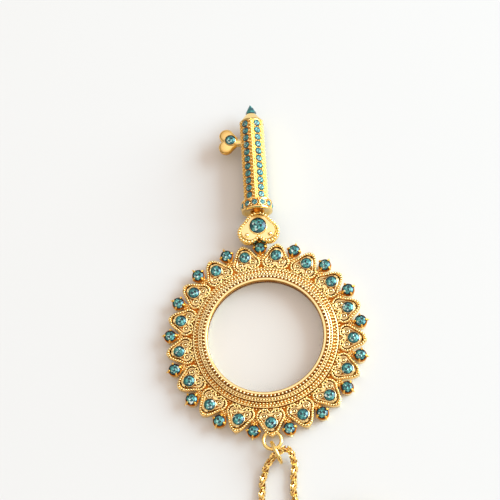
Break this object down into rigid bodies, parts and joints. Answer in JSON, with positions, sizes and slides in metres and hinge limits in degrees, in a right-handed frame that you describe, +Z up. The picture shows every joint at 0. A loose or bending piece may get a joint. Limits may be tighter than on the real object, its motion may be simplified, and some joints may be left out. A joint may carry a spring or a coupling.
{
  "type": "pendant magnifier",
  "caption": "Key-shaped pendant magnifier: a round lens in a ring of stone-set hearts, a six-sided stone-set shank with a heart bit, and a rope chain with a clasp.",
  "frame": {"origin": "the middle of the pendant without its chain, on the plane that it lies on", "axes": "+X across the lens ring to the right, +Y along the shank from the chain eye to the crystal point, +Z up from the back of the lens ring to its stone-set front"},
  "size_m": [0.0586, 0.1443, 0.0081],
  "materials": {
    "gold": "polished warm gold plating",
    "bright_gold": "polished pale gold plating",
    "chain_gold": "polished gold plated links",
    "stone": "foil-backed blue-green cut glass",
    "crystal": "blue-green cut glass",
    "lens_glass": "clear polished optical glass",
    "steel": "plain steel"
  },
  "bodies": {
    "root": {"ring_frame": "gold", "milled_band": "bright_gold", "beaded_band": "bright_gold", "lens": "lens_glass", "lens_retainer": "bright_gold", "heart_settings": "gold", "heart_stones": "stone", "claw_settings": "gold", "claw_stones": "stone", "link_heart": "gold", "link_border": "bright_gold", "link_stone": "stone", "collar": "gold", "collar_stones": "stone", "shank": "gold", "shank_stones": "stone", "shank_cap": "gold", "tip_crystal": "crystal", "bit_heart": "gold", "bit_stone": "stone", "chain_eye": "gold", "chain_run": "chain_gold", "chain_left_coil": "chain_gold", "chain_right_coil": "chain_gold", "chain_left_tail": "chain_gold", "chain_right_tail": "chain_gold", "chain_left_cap": "gold", "chain_right_cap": "gold", "clasp_body": "gold", "clasp_spring": "steel", "clasp_rivet": "steel"},
    "jump_ring": {"jump_ring": "gold"},
    "clasp_lever": {"clasp_lever": "gold"},
    "clasp_end_ring": {"clasp_end_ring": "gold"},
    "clasp_tail_ring": {"clasp_tail_ring": "gold"}
  },
  "joints": [
    {"name": "jump_ring_swing", "type": "hinge", "parent": "root", "child": "jump_ring", "pos_m": [0.00036, -0.04446, 0.002], "axis": [-0.9854, -0.1702, 0], "range_deg": [0, 25]},
    {"name": "clasp_lever_hinge", "type": "hinge", "parent": "root", "child": "clasp_lever", "pos_m": [-0.003, -0.09289, 0.0019], "axis": [0, 0, 1], "range_deg": [0, 15], "stiffness_Nm_per_rad": 0.00005},
    {"name": "clasp_end_ring_turn", "type": "hinge", "parent": "root", "child": "clasp_end_ring", "pos_m": [0.00028, -0.09639, 0.00215], "axis": [0, 1, 0], "continuous": true},
    {"name": "clasp_tail_ring_turn", "type": "hinge", "parent": "root", "child": "clasp_tail_ring", "pos_m": [-0.0023, -0.08794, 0.00215], "axis": [1, 0, 0], "continuous": true}
  ]
}
